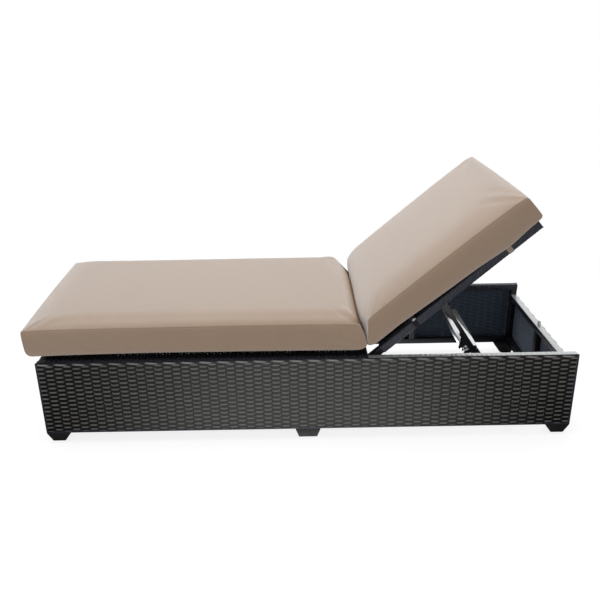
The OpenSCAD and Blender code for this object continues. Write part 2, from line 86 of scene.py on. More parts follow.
# Handling pieces
def let_go():
    """Nothing selected, and no object in edit mode"""
    if bpy.context.object and bpy.context.object.mode != "OBJECT":
        bpy.ops.object.mode_set(mode="OBJECT")
    bpy.ops.object.select_all(action="DESELECT")


def take(piece):
    """Only this piece selected and active"""
    let_go()
    piece.select_set(True)
    bpy.context.view_layer.objects.active = piece


def named(name):
    """The primitive just added, with its name"""
    piece = bpy.context.object
    piece.name = name
    piece.data.name = name
    return piece


def settle(piece):
    """Place, turn and size go into the mesh"""
    take(piece)
    bpy.ops.object.transform_apply(location=True, rotation=True, scale=True)


def pick(piece, test, kind="VERT"):
    """Edit mode with the points, edges or faces selected whose middle passes the test"""
    take(piece)
    bpy.ops.object.mode_set(mode="EDIT")
    bpy.ops.mesh.select_mode(type=kind)
    bpy.ops.mesh.select_all(action="DESELECT")
    mesh = bmesh.from_edit_mesh(piece.data)
    if kind == "VERT":
        for v in mesh.verts:
            v.select_set(bool(test(v.co)))
    elif kind == "EDGE":
        for e in mesh.edges:
            e.select_set(bool(test(e.verts[0].co, e.verts[1].co)))
    else:
        for f in mesh.faces:
            f.select_set(bool(test(f.calc_center_median(), f.normal)))
    mesh.select_flush_mode()
    bmesh.update_edit_mesh(piece.data)


def done():
    """Back out of edit mode"""
    bpy.ops.object.mode_set(mode="OBJECT")


def cut(piece, place, normal, drop=""):
    """The whole mesh cut by a plane; drop is the side that is cleared"""
    pick(piece, lambda co: True)
    bpy.ops.mesh.bisect(plane_co=place, plane_no=normal,
                        clear_inner=drop == "inner", clear_outer=drop == "outer")
    done()


def shift(piece, test, by):
    """Points that pass the test moved"""
    pick(piece, test)
    bpy.ops.transform.translate(value=by)
    done()


def modified(piece, kind, **settings):
    """A modifier added, set and applied"""
    take(piece)
    modifier = piece.modifiers.new(kind.lower(), kind)
    for key, value in settings.items():
        setattr(modifier, key, value)
    bpy.ops.object.modifier_apply(modifier=modifier.name)


def rows_of(piece, count, step, merge=False):
    """The piece repeated at a constant step"""
    modified(piece, "ARRAY", count=count, use_relative_offset=False, use_constant_offset=True,
             constant_offset_displace=step, use_merge_vertices=merge, merge_threshold=0.00005)


def copy_of(piece, name):
    """A copy with its own mesh"""
    other = piece.copy()
    other.data = piece.data.copy()
    other.name = name
    bpy.context.scene.collection.objects.link(other)
    return other


def mirrored(piece, name):
    """A copy on the other side of the middle plane"""
    other = copy_of(piece, name)
    other.scale = (1, -1, 1)
    settle(other)
    outward(other)
    return other


def joined(pieces, name):
    """Several pieces made one"""
    take(pieces[0])
    for piece in pieces[1:]:
        piece.select_set(True)
    bpy.ops.object.join()
    return named(name)


def smooth(piece, degrees=round_angle):
    """Shaded smooth, apart from edges sharper than that"""
    take(piece)
    bpy.ops.object.shade_smooth_by_angle(angle=math.radians(degrees))


def fill_ends(piece, sides):
    """Open ends closed"""
    pick(piece, lambda co: True)
    bpy.ops.mesh.fill_holes(sides=sides)
    done()


def outward(piece):
    """Doubles merged and faces turned outwards"""
    pick(piece, lambda co: True)
    bpy.ops.mesh.remove_doubles(threshold=0.00001)
    bpy.ops.mesh.normals_make_consistent(inside=False)
    done()


def put(piece, place=(0, 0, 0), turn=(0, 0, 0)):
    """The piece turned and moved, with both in its mesh"""
    piece.location = place
    piece.rotation_euler = turn
    settle(piece)
    return piece


def layer_of(piece, key, kind):
    """The piece's own layer of that name, made where it is missing"""
    return piece.data.attributes.get(key) or piece.data.attributes.new(key, kind, "POINT")


def point_values(piece, key, values):
    """One number per point, kept on the piece for its material"""
    layer_of(piece, key, "FLOAT").data.foreach_set("value", np.asarray(values, np.float32))


def place_values(piece, values):
    """The cloth's own place at each point, which its weave follows"""
    layer = layer_of(piece, "cloth_place", "FLOAT_VECTOR")
    layer.data.foreach_set("vector", np.asarray(values, np.float32).ravel())


def points(piece):
    """The places of all points"""
    co = np.empty(len(piece.data.vertices) * 3, np.float32)
    piece.data.vertices.foreach_get("co", co)
    return co.reshape(-1, 3).astype(float)


def set_points(piece, co):
    """New places for all points"""
    piece.data.vertices.foreach_set("co", np.asarray(co, np.float32).ravel())
    piece.data.update()


def hand_in(piece, finish, body, slot, *nodes):
    """Material, body and the frame's nodes that the piece stands for; slot is not used"""
    piece.data.materials.clear()
    piece.data.materials.append(finish)
    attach(piece, body)
    if nodes:
        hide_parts(*nodes)


# Materials

rib_pitch = 0.0013
fine_thread = 0.0011
coarse_thread = 0.0016
# The wave texture's scale at which its bands are a metre apart
metre_bands = 0.3142


def new_finish(name, colour, rough, **sockets):
    """A material, its nodes and its shader, with plain numbers on the shader's own sockets"""
    finish = bpy.data.materials.new(name)
    finish.use_nodes = True
    shader = finish.node_tree.nodes["Principled BSDF"]
    shader.inputs["Base Color"].default_value = (*colour, 1)
    shader.inputs["Roughness"].default_value = rough
    for key, value in sockets.items():
        shader.inputs[key.replace("_", " ")].default_value = value
    return finish, finish.node_tree, shader


def node(tree, kind, inputs=(), **settings):
    """A shader node with its inputs linked or set"""
    made = tree.nodes.new(kind)
    for key, value in settings.items():
        setattr(made, key, value)
    for key, value in dict(inputs).items():
        if isinstance(value, bpy.types.NodeSocket):
            tree.links.new(value, made.inputs[key])
        else:
            made.inputs[key].default_value = value
    return made


def place_of(tree, scale=(1, 1, 1)):
    """The object's own coordinates, stretched"""
    at = node(tree, "ShaderNodeTexCoord").outputs["Object"]
    return node(tree, "ShaderNodeMapping", {"Vector": at, "Scale": scale}).outputs["Vector"]


def kept(tree, key):
    """A value that the piece keeps at its points"""
    return node(tree, "ShaderNodeAttribute", attribute_name=key).outputs["Fac"]


def noise(tree, at, scale, detail=2.0):
    """Soft patches"""
    return node(tree, "ShaderNodeTexNoise", {"Vector": at, "Scale": scale, "Detail": detail}).outputs["Fac"]


def bands(tree, at, axis, pitch, warp=0.0, warp_scale=4.0):
    """Fine parallel bands of a pitch in metres"""
    return node(tree, "ShaderNodeTexWave", {"Vector": at, "Scale": metre_bands / pitch, "Distortion": warp,
                                            "Detail": 1.0, "Detail Scale": warp_scale},
                wave_type="BANDS", bands_direction=axis).outputs["Fac"]


def ramp(tree, value, *stops):
    """Colours along a value"""
    made = node(tree, "ShaderNodeValToRGB", {"Fac": value})
    marks = made.color_ramp.elements
    while len(marks) < len(stops):
        marks.new(0.5)
    for mark, (place, colour) in zip(marks, stops):
        mark.position = place
        mark.color = (*colour, 1)
    return made.outputs["Color"]


def span(tree, value, low, high):
    """A value from 0..1 brought to low..high"""
    return node(tree, "ShaderNodeMapRange", {"Value": value, "To Min": low, "To Max": high}).outputs["Result"]


def maths(tree, what, one, two):
    """Two values worked into one"""
    return node(tree, "ShaderNodeMath", {0: one, 1: two}, operation=what).outputs[0]


def blended(tree, share, one, two, how="MIX"):
    """The first colour with the second laid over it by its share"""
    made = node(tree, "ShaderNodeMix", data_type="RGBA", blend_type=how)
    for key, value in ((0, share), (6, one), (7, two)):
        if isinstance(value, bpy.types.NodeSocket):
            tree.links.new(value, made.inputs[key])
        elif key:
            made.inputs[key].default_value = (*value, 1)
        else:
            made.inputs[key].default_value = value
    return made.outputs[2]


def tinted(colour, share):
    """The colour, lighter or darker"""
    return [part * share for part in colour]


def relief(tree, shader, height, deep, strength):
    """Fine unevenness, as deep as that in metres"""
    bump = node(tree, "ShaderNodeBump", {"Height": height, "Distance": deep, "Strength": strength})
    tree.links.new(bump.outputs["Normal"], shader.inputs["Normal"])


def resin(name, bright, painted_shade_colour, along, rough, lift=True, gloss=0.25,
          inside=(0.05, 0.07, 0.10), marks=0.0, **sockets):
    """Flat resin strand: ribbed lengthwise, a little uneven, with painted shade where it dips between others
    and along its lower edge
    """
    finish, tree, shader = new_finish(name, bright, rough, Specular_IOR_Level=gloss, **sockets)
    at = place_of(tree)
    across = {"X": ("Y", "Z"), "Y": ("X", "Z")}[along]
    patches = noise(tree, place_of(tree, {"X": (3, 40, 110), "Y": (110, 3, 40)}[along]), 1.0)
    colour = ramp(tree, patches, (0.25, tinted(bright, 0.72)), (0.75, tinted(bright, 1.25)))
    if lift:
        up = kept(tree, "lift")
        colour = blended(tree, up, painted_shade_colour, colour)
        if marks:
            inside = blended(tree, up, tinted(inside, 1 + marks), tinted(inside, 1 - marks))
    # Painted shade of the inside: inner faces take one flat bluish colour, with marks lighter where a strand
    # stands out inwards
    inner = kept(tree, "inner")
    colour = blended(tree, inner, colour, inside)
    tree.links.new(colour, shader.inputs["Base Color"])
    ribs = maths(tree, "ADD", *[bands(tree, at, axis, rib_pitch, 0.6) for axis in across])
    relief(tree, shader, maths(tree, "ADD", ribs, noise(tree, at, 900.0, 1.0)), 0.00012, 0.7)
    dull = maths(tree, "MULTIPLY", inner, 0.4)
    uneven = span(tree, patches, rough - 0.08, rough + 0.10)
    tree.links.new(maths(tree, "ADD", uneven, dull), shader.inputs["Roughness"])
    return finish


def coated(name, colour, rough, grain=700.0, deep=0.00008, **sockets):
    """Painted or moulded skin with a fine grain and faint cloudiness"""
    finish, tree, shader = new_finish(name, colour, rough, **sockets)
    at = place_of(tree)
    cloud = noise(tree, at, 14.0, 3.0)
    shade = ramp(tree, cloud, (0.3, tinted(colour, 0.82)), (0.7, tinted(colour, 1.15)))
    tree.links.new(shade, shader.inputs["Base Color"])
    uneven = span(tree, noise(tree, at, 60.0), rough - 0.07, rough + 0.07)
    tree.links.new(uneven, shader.inputs["Roughness"])
    relief(tree, shader, noise(tree, at, grain), deep, 0.5)
    return finish


def bright_metal(name, colour, rough, stretch=(6, 90, 90)):
    """Plated steel with a drawn grain along its length"""
    finish, tree, shader = new_finish(name, colour, rough, Metallic=1.0)
    at = place_of(tree, stretch)
    drawn = noise(tree, at, 6.0, 3.0)
    spots = noise(tree, place_of(tree), 45.0, 3.0)
    tint = ramp(tree, spots, (0.3, tinted(colour, 0.84)), (0.65, colour))
    tree.links.new(tint, shader.inputs["Base Color"])
    tree.links.new(span(tree, drawn, rough - 0.08, rough + 0.12), shader.inputs["Roughness"])
    relief(tree, shader, drawn, 0.00005, 0.4)
    return finish


def cloth(name, colour, thread=fine_thread, sheen=1.0):
    """Plain woven cloth: crossing threads, faint slubs, and painted shade in the seams and in the crease"""
    finish, tree, shader = new_finish(name, colour, 0.80, Sheen_Weight=sheen, Sheen_Roughness=0.64,
                                      Sheen_Tint=(1.0, 1.0, 1.0, 1.0), Specular_IOR_Level=0.12)
    own = node(tree, "ShaderNodeAttribute", attribute_name="cloth_place").outputs["Vector"]

    def lie(scale):
        return node(tree, "ShaderNodeMapping", {"Vector": own, "Scale": scale}).outputs["Vector"]
    at = lie((1, 1, 1))
    x, y, z = [bands(tree, at, axis, thread, 0.8, 3.0) for axis in "XYZ"]
    crossings = [maths(tree, "MULTIPLY", one, two) for one, two in ((x, y), (y, z), (x, z))]
    weave = maths(tree, "ADD", crossings[0], maths(tree, "ADD", crossings[1], crossings[2]))
    slubs = maths(tree, "ADD", noise(tree, lie((14, 420, 420)), 1.0), noise(tree, lie((420, 14, 420)), 1.0))
    slubs = maths(tree, "MULTIPLY", slubs, 0.5)
    clouds = ramp(tree, noise(tree, at, 5.0, 3.0), (0.3, (0.965, 0.965, 0.965)), (0.7, (1, 1, 1)))
    shade = ramp(tree, slubs, (0.3, tinted(colour, 0.90)), (0.7, tinted(colour, 1.08)))
    shade = blended(tree, 1.0, shade, clouds, "MULTIPLY")
    # Painted shade in the sewn grooves
    shade = blended(tree, kept(tree, "seam"), shade, tinted(colour, 0.50))
    # Painted shade, the darker the deeper in the crease
    crease_shade_colour = [part * share for part, share in zip(colour, (0.48, 0.46, 0.46))]
    shade = blended(tree, kept(tree, "crease"), shade, crease_shade_colour)
    tree.links.new(shade, shader.inputs["Base Color"])
    puckers = maths(tree, "MULTIPLY", noise(tree, lie((30, 30, 7)), 1.0), kept(tree, "boxing"))
    folds = maths(tree, "MULTIPLY", puckers, 9.0)
    relief(tree, shader, maths(tree, "ADD", weave, folds), 0.00025, 0.6)
    return finish


# The woven strands' colour where they stand out, and the painted shade where they dip behind others
strand_colour_and_shade = (0.172, 0.164, 0.151), (0.0015, 0.0015, 0.0015)
tan = (0.345, 0.220, 0.132)
strand_long = resin("woven_resin_along", *strand_colour_and_shade, "X", 0.34, gloss=0.24)
strand_end = resin("woven_resin_across", *strand_colour_and_shade, "Y", 0.34, gloss=0.24,
                   inside=(0.136, 0.156, 0.199), marks=0.8)
strand_edge = resin("edge_resin", (0.300, 0.295, 0.285), (0.004, 0.004, 0.005), "X", 0.36)
# The rims' tops: a pale bluish painted reflection of the sky over a glossy coat
rim_with_painted_reflection = resin("rim_resin_painted_reflection", (0.380, 0.400, 0.412), (0.010, 0.010, 0.012), "Y", 0.22, lift=False,
                   gloss=1.0, Coat_Weight=1.0, Coat_Roughness=0.12, Coat_IOR=3.2)
deck_resin = resin("deck_resin", (0.018, 0.021, 0.031), (0.010, 0.011, 0.016), "Y", 0.26)
wrap_resin = resin("wrap_resin", (0.030, 0.034, 0.048), (0.006, 0.006, 0.008), "Y", 0.26, lift=False)
powder = coated("dark_powder_coat", (0.012, 0.013, 0.018), 0.45, 900.0, Specular_IOR_Level=0.25)
stay_coat = coated("stay_powder_coat", (0.016, 0.015, 0.017), 0.36, 900.0)
moulded = coated("moulded_foot_plastic", (0.020, 0.0205, 0.021), 0.55, 500.0, 0.00015,
                 Specular_IOR_Level=0.12)
black_plastic = coated("black_plastic", (0.012, 0.012, 0.013), 0.48, 500.0)
soft_rubber = coated("pale_rubber", (0.66, 0.68, 0.68), 0.70, 350.0, 0.0002)
nylon = coated("pale_nylon", (0.62, 0.60, 0.55), 0.45, 500.0)
zinc = bright_metal("bright_zinc", (0.86, 0.88, 0.90), 0.28)
bolt_metal = bright_metal("plated_bolt", (0.55, 0.56, 0.58), 0.33, (30, 30, 30))
tan_cloth = cloth("tan_cushion_cloth", tan)
dark_tape = cloth("dark_elastic_tape", (0.020, 0.021, 0.027), coarse_thread, 0.0)
tan_tape = cloth("tan_tape", (0.320, 0.222, 0.158), coarse_thread)
# Painted crease shade: copies of the cloth with less sheen the deeper in the crease, each with the depth from
# which it is used
crease_shade_steps = [(0.06, 0.82), (0.17, 0.62), (0.33, 0.38), (0.55, 0.0)]
crease_shade_cloths = [(depth, cloth(f"tan_cushion_cloth_in_the_crease_{step}", tan, sheen=sheen))
                 for step, (depth, sheen) in enumerate(crease_shade_steps, 1)]


def edged(piece, finish, test):
    """Faces that pass the test take one more finish"""
    piece.data.materials.append(finish)
    for face in piece.data.polygons:
        if test(face):
            face.material_index = len(piece.data.materials) - 1


def inner_side(piece):
    """Marks what faces +Y, the inside of a skin before it is turned"""
    facing = np.zeros(3 * len(piece.data.vertices))
    piece.data.vertices.foreach_get("normal", facing)
    point_values(piece, "inner", np.clip(2 * facing.reshape(-1, 3)[:, 1], 0, 1))


# Wicker

# A six-sided tube's width over its flat sides, when it is 1 over its corners
six_sided = 0.866
# How high a strand stands at shares of the way over one stake
arch = [(0.0, 0.0), (0.10, 0.58), (0.24, 0.93), (0.5, 1.06), (0.76, 0.93), (0.90, 0.58), (1.0, 0.0)]


def strand(name, pitch, width, thick, rise):
    """One period of a flat strand along X: over one stake and under the next. Its front is -Y."""
    let_go()
    bpy.ops.mesh.primitive_cylinder_add(vertices=6, radius=0.5, depth=2 * pitch, end_fill_type="NOTHING",
                                        location=(pitch, 0, 0), rotation=(0, math.pi / 2, 0))
    piece = named(name)
    piece.scale = (width / six_sided, thick, 1)
    settle(piece)
    stations = [(share * pitch, lift) for share, lift in arch]
    stations += [((1 + share) * pitch, -min(lift, 1.0)) for share, lift in arch[1:]]
    for x, lift in stations[1:-1]:
        cut(piece, (x, 0, 0), (1, 0, 0))
    for x, lift in stations[1:-1]:
        if lift:
            shift(piece, lambda co: abs(co.x - x) < 0.00001, (0, -rise * lift, 0))
    way = 1 if rise > 0 else -1
    # Painted shade kept as lift: dark where the strand dips behind a stake, and across the strand dark at its
    # lower edge and lightest along its middle
    level = np.interp(points(piece)[:, 0], [x for x, lift in stations], [way * lift for x, lift in stations])
    across = np.interp(points(piece)[:, 2] / width, [-0.5, 0, 0.5], [0.05, 1.0, 0.42])
    point_values(piece, "lift", np.clip((level - 0.25) / 0.72, 0, 1) * across)
    return piece


def woven(name, length, height, columns, step, width, thick, rise, stake_w):
    """A sheet of strands along X, from 0 to length, woven over upright stakes from 0 to height"""
    pitch = length / columns
    pairs = round(height / step / 2)
    step = height / pairs / 2
    layers = []
    for k, way in ((0, rise), (1, -rise)):
        piece = strand(name + "_row", pitch, width * step, thick, way)
        rows_of(piece, math.ceil(columns / 2), (2 * pitch, 0, 0), merge=True)
        if columns % 2:
            cut(piece, (length, 0, 0), (1, 0, 0), "outer")
        fill_ends(piece, 6)
        rows_of(piece, pairs, (0, 0, 2 * step))
        layers.append(put(piece, (0, 0, step * (k + 0.5))))
    let_go()
    bpy.ops.mesh.primitive_cube_add(size=1, location=(pitch / 2, 0, height / 2))
    stake = named(name + "_stake")
    stake.scale = (stake_w * pitch, thick * 0.8, height)
    settle(stake)
    pick(stake, lambda a, b: abs(a.z - b.z) > height / 2, "EDGE")
    bpy.ops.mesh.bevel(offset=thick * 0.25, segments=1)
    done()
    # Painted shade: the stakes take the dark colour all over
    point_values(stake, "lift", np.zeros(len(stake.data.vertices)))
    rows_of(stake, columns, (pitch, 0, 0))
    sheet = joined(layers + [stake], name)
    smooth(sheet)
    return sheet


# How much lower a turn's edges lie than its middle
turn_crown = 0.0004


def wrap_turn(name, half, width, corner, thick, open_side=None):
    """One turn of flat strand round a square rail along X, closed, or open on one side"""
    let_go()
    bpy.ops.mesh.primitive_cube_add(size=2, location=(0, 0, 0))
    piece = named(name)
    piece.scale = (width / 2, half, half)
    settle(piece)
    pick(piece, lambda middle, normal: abs(normal.x) > 0.9, "FACE")
    bpy.ops.mesh.delete(type="FACE")
    done()
    pick(piece, lambda a, b: abs(a.x - b.x) > width / 2, "EDGE")
    bpy.ops.mesh.bevel(offset=corner, segments=3, affect="EDGES")
    done()
    if open_side:
        pick(piece, lambda middle, normal: open_side(middle), "FACE")
        bpy.ops.mesh.delete(type="FACE")
        done()
    for x in (-0.34 * width, 0.34 * width):
        cut(piece, (x, 0, 0), (1, 0, 0))
    pick(piece, lambda co: abs(co.x) > 0.45 * width)
    drawn_in = 1 - turn_crown / half
    bpy.ops.transform.resize(value=(1, drawn_in, drawn_in), center_override=(0, 0, 0))
    done()
    modified(piece, "SOLIDIFY", thickness=thick, offset=-1)
    return piece


def wrapped(turn, length, pitch, slant):
    """Turns of strand side by side along a rail, from 0 to length, each a little slanted"""
    count = max(1, round(length / pitch))
    put(turn, turn=(0, 0, slant))
    put(turn, (length / count / 2, 0, 0))
    rows_of(turn, count, (length / count, 0, 0))
    smooth(turn)
    return turn


# The border's height, and the length, thickness and tilt of its segments
braid_h = 0.010
braid_pitch = 0.067
braid_thick = 0.0013
braid_tilt = math.radians(5.0)


def edge_braid(name, length):
    """The border over a panel's top row: long flat segments, each tucked under the next"""
    count = round(length / braid_pitch)
    pitch = length / count
    piece = strand(name, pitch * 0.80, braid_h * 0.92, braid_thick, braid_thick * 0.5)
    cut(piece, (pitch * 1.03, 0, 0), (1, 0, 0), "outer")
    fill_ends(piece, 6)
    put(piece, turn=(0, braid_tilt, 0))
    rows_of(piece, count, (pitch, 0, 0))
    cut(piece, (length, 0, 0), (1, 0, 0), "outer")
    smooth(piece)
    inner_side(piece)
    return piece


# Base: woven skins with their borders, rims and binding, and the seat deck
column = 0.0335
row_h = 0.009
panel_rise = 0.0009
panel_thick = 0.0018
centre = side_y - skin / 2


def panel(name, length, height, turn, place):
    """A woven skin in its place on one side of the base"""
    sheet = woven(name, length, height, round(length / column), row_h, 0.99, panel_thick, panel_rise, 0.66)
    inner_side(sheet)
    put(sheet, place, (0, 0, turn))
    return sheet


def opposite(piece, name):
    """A copy turned to the base's other long side"""
    return put(copy_of(piece, name), (foot_x + head_x, 0, 0), (0, 0, math.pi))


side_l = head_x - foot_x + 2 * slack
side_h = rim_top - panel_low - braid_h - slack
near = panel("near_side_wicker", side_l, side_h, 0, (foot_x - slack, -centre, panel_low))
far = opposite(near, "far_side_wicker")
hand_in(near, strand_long, "base", "wicker", "near_side_weave")
hand_in(far, strand_long, "base", "wicker", "far_side_weave")

end_w = 2 * (side_y - skin) - slack
head_h = head_top - panel_low - braid_h - slack
foot_panel = panel("foot_end_wicker", end_w, side_h, -math.pi / 2, (foot_x + skin / 2, end_w / 2, panel_low))
hand_in(foot_panel, strand_end, "base", "wicker", "foot_end_weave")
head_panel = panel("head_end_wicker", end_w, head_h, math.pi / 2, (head_x - skin / 2, -end_w / 2, panel_low))
hand_in(head_panel, strand_end, "base", "wicker", "head_end_weave")

# Borders over the panels' top rows, a little inside their faces
braid_down = braid_h * 0.62
braid_in = 0.0002
near_border = edge_braid("near_border", side_l)
put(near_border, (foot_x - slack, -centre + braid_in, rim_top - braid_down))
far_border = opposite(near_border, "far_border")
foot_border = edge_braid("foot_border", end_w)
head_border = copy_of(foot_border, "head_border")
put(foot_border, (foot_x + skin / 2 + braid_in, end_w / 2, rim_top - braid_down), (0, 0, -math.pi / 2))
put(head_border, (head_x - skin / 2 - braid_in, -end_w / 2, head_top - braid_down), (0, 0, math.pi / 2))
for piece in (near_border, far_border, foot_border, head_border):
    hand_in(piece, strand_edge, "base", "wicker")

# Strand turns over the rims. Under the seat deck they stop at its edge, and in the open bay
# they go round the rail.
rim_half = 0.5 * (tube + skin)
rim_pitch = 0.0188
rim_slant = 0.05
rim_in = 0.0022 + rim_half
rim_down = 0.0005 + rim_half


def rim(name, length, whole):
    """Turns round a rim's rail, without their outer side, and without their lower part unless whole"""
    def gone(middle):
        return middle.y < -rim_half * 0.9 or (not whole and middle.z < rim_half * 0.5)
    turn = wrap_turn(name, rim_half, rim_pitch * 0.99, 0.0035, 0.0010, gone)
    return wrapped(turn, length, rim_pitch, rim_slant)


seat_rim = rim("near_seat_rim", deck_hi.x - foot_x - 2 * slack, False)
put(seat_rim, (foot_x + slack, rim_in - side_y, rim_top - rim_down))
bay_rim = rim("near_bay_rim", head_x - deck_hi.x - 2 * slack, True)
put(bay_rim, (deck_hi.x, rim_in - side_y, rim_top - rim_down))
# The near bay rim takes the painted reflection, the seat rim and all far rims the dark wrap
for near_rim, finish in ((seat_rim, wrap_resin), (bay_rim, rim_with_painted_reflection)):
    far_rim = mirrored(near_rim, near_rim.name.replace("near", "far"))
    smooth(far_rim)
    hand_in(near_rim, finish, "base", "wicker")
    hand_in(far_rim, wrap_resin, "base", "wicker")

end_rim_l = 2 * (side_y - skin - tube) + slack
foot_rim = rim("foot_rim_turns", end_rim_l, False)
put(foot_rim, (foot_x + rim_in, end_rim_l / 2, rim_top - rim_down), (0, 0, -math.pi / 2))
head_rim = rim("head_rim_turns", end_rim_l, True)
put(head_rim, (head_x - rim_in, -end_rim_l / 2, head_top - rim_down), (0, 0, math.pi / 2))
hand_in(foot_rim, wrap_resin, "base", "wicker")
hand_in(head_rim, rim_with_painted_reflection, "base", "wicker")
# Only the tops of these rims carry the painted reflection; their other faces take the dark wrap
for piece in (bay_rim, head_rim):
    edged(piece, wrap_resin, lambda face: face.normal.z < 0.3)

# Plain dark binding: posts at the skins' corners and strips along their lower edges
post_w = 0.008
strip_w = 0.003
strip_h = 0.006
binding_round = 0.0009
face_y = side_y + 0.0008
face_x0 = foot_x - 0.0012
face_x1 = head_x + 0.0012


def bound(lo, hi):
    """A rounded bar between two corners"""
    let_go()
    bpy.ops.mesh.primitive_cube_add(size=1, location=[(a + b) / 2 for a, b in zip(lo, hi)])
    piece = named("binding")
    piece.scale = [b - a for a, b in zip(lo, hi)]
    settle(piece)
    modified(piece, "BEVEL", width=binding_round, segments=2)
    return piece


bars = []
for y in (-face_y, face_y - strip_w):
    bars.append(bound((face_x0, y, panel_low), (face_x1, y + strip_w, panel_low + strip_h)))
for x in (face_x0, face_x1 - strip_w):
    bars.append(bound((x, -face_y, panel_low), (x + strip_w, face_y, panel_low + strip_h)))
for x in (face_x0, face_x1 - post_w):
    for y in (-face_y, face_y - post_w):
        bars.append(bound((x, y, panel_low), (x + post_w, y + post_w, rim_top - slack)))
binding = joined(bars, "skin_binding")
smooth(binding)
hand_in(binding, wrap_resin, "base", "wicker")


deck_row_h = 0.012


def deck_sheet(name, width, length, columns, thick, rise):
    """A woven sheet lying flat, with its strands across, and its lowest and highest corners"""
    sheet = woven(name, width, length, columns, deck_row_h, 0.985, thick, rise, 0.7)
    put(sheet, turn=(math.pi / 2, 0, 0))
    put(sheet, turn=(math.pi, 0, math.pi / 2))
    co = points(sheet)
    return sheet, co.min(0), co.max(0)


# Seat deck
deck, lo, hi = deck_sheet("seat_deck_wicker", deck_hi.y - deck_lo.y - strip_w, deck_hi.x - deck_lo.x,
                          columns=18, thick=0.0012, rise=0.0013)
put(deck, (deck_hi.x - hi[0], -(lo[1] + hi[1]) / 2, deck_hi.z - hi[2]))
hand_in(deck, deck_resin, "base", "deck_wicker", "seat_deck_weave")


# Back frame, made flat along X from the hinge and then turned up
def on_back(piece):
    """From the back frame's own axes to its place"""
    piece.data.transform(Matrix.Translation(hinge) @ Matrix.Rotation(-back_angle, 4, "Y"))
    piece.data.update()
    return piece


def rounded(source, finish, body, slot, width):
    """A copy of a frame node with its edges rounded, which stands for it"""
    piece = bpy.data.objects.new(source + "_piece", frame["nodes"][source].data.copy())
    bpy.context.scene.collection.objects.link(piece)
    pick(piece, lambda co: True)
    bpy.ops.mesh.remove_doubles(threshold=0.000005)
    bpy.ops.mesh.dissolve_limited(angle_limit=math.radians(0.5))
    done()
    modified(piece, "BEVEL", width=width, segments=2, limit_method="ANGLE",
             angle_limit=math.radians(30), use_clamp_overlap=True)
    smooth(piece)
    hand_in(piece, finish, body, slot, source)
    return piece


# The frame's own pieces, each with its finish, body, slot and the radius of its edges
for source, finish, body, slot, width in (
        *[(source, powder, "base", "frame_tube", 0.0022) for source in (
            "side_top_rails", "side_bottom_rails", "side_posts", "end_rails", "end_posts",
            "deck_bearers", "deck_cross_rails", "catch_cross_rail")],
        *[(source, powder, "backrest", "frame_tube", 0.0018) for source in (
            "back_side_rails", "back_cross_rails", "back_top_rail")],
        ("catch_bar", zinc, "base", "zinc_steel", 0.0022),
        ("catch_legs", stay_coat, "base", "stay_steel", 0.0034),
        ("catch_pins", zinc, "base", "zinc_steel", 0.0010),
        *[(source, moulded, "base", "foot_block", 0.0035) for source in ("corner_feet", "middle_feet")],
        ("head_buffer", soft_rubber, "base", "rubber", 0.0012),
        ("rail_end_plugs", black_plastic, "backrest", "black_plastic", 0.0006),
        ("stay_lugs", stay_coat, "backrest", "stay_steel", 0.0006),
        *[(source, stay_coat, "stays", "stay_steel", 0.0011) for source in ("near_stay", "far_stay")],
        ("hinge_bolts", bolt_metal, "base", "bolt_steel", 0.0008),
        ("hinge_nuts", bolt_metal, "base", "bolt_steel", 0.0006),
        ("stay_rod_caps", black_plastic, "backrest", "black_plastic", 0.0006)):
    piece = rounded(source, finish, body, slot, width)
    if source == "catch_legs":
        edged(piece, zinc, lambda face: 0.2 < abs(face.normal.y) < 0.95)
    if source in ("near_stay", "far_stay"):
        edged(piece, zinc, lambda face: abs(face.normal.y) < 0.9)
    if source == "catch_bar":
        bar_lo, bar_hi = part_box("catch_bar")
        start = Vector((bar_hi.x - 0.002, -0.10, 0))
        end = Vector(((bar_lo.x + bar_hi.x) / 2, bar_hi.y * 0.9, 0))
        away = (end - start).cross(Vector((0, 0, -1)))
        away *= math.copysign(1, away.x)
        cut(piece, start, away)
        edged(piece, stay_coat, lambda face: face.normal.z > 0.95 and (face.center - start).dot(away) > 0)

# Small round pieces keep the frame's own shape
for source, finish in (("foot_glides", black_plastic), ("foot_screws", bolt_metal),
                       ("hinge_spacers", black_plastic), ("hinge_bushes", nylon),
                       ("stay_rod", bolt_metal), ("stay_tube", stay_coat)):
    for place in frame["nodes"][source].material_slots:
        place.material = finish

# Wicker of the back frame
rail_mid = back_out - wrap / 2
wrap_start = 0.044
rail_pitch = 0.0130
rail_slant = 0.07


def rail_wrap(name, length):
    """Strand turns round a rail of the back frame"""
    turn = wrap_turn(name, wrap / 2 - 0.0002, 0.0126, 0.0045, 0.0028)
    return wrapped(turn, length, rail_pitch, rail_slant)


near_wrap = put(rail_wrap("near_rail_wrap", back_l - wrap_start), (wrap_start, -rail_mid, 0))
far_wrap = put(copy_of(near_wrap, "far_rail_wrap"), (0, 2 * rail_mid, 0))
side_wraps = on_back(joined([near_wrap, far_wrap], "back_rail_wicker"))
hand_in(side_wraps, wrap_resin, "backrest", "deck_wicker", "back_rail_wraps")

top_l = 2 * (back_out - wrap)
top_wrap = put(rail_wrap("top_wrap", top_l), (back_l - wrap / 2, -top_l / 2, 0), (0, 0, math.pi / 2))
hand_in(on_back(top_wrap), wrap_resin, "backrest", "deck_wicker", "back_top_wrap")

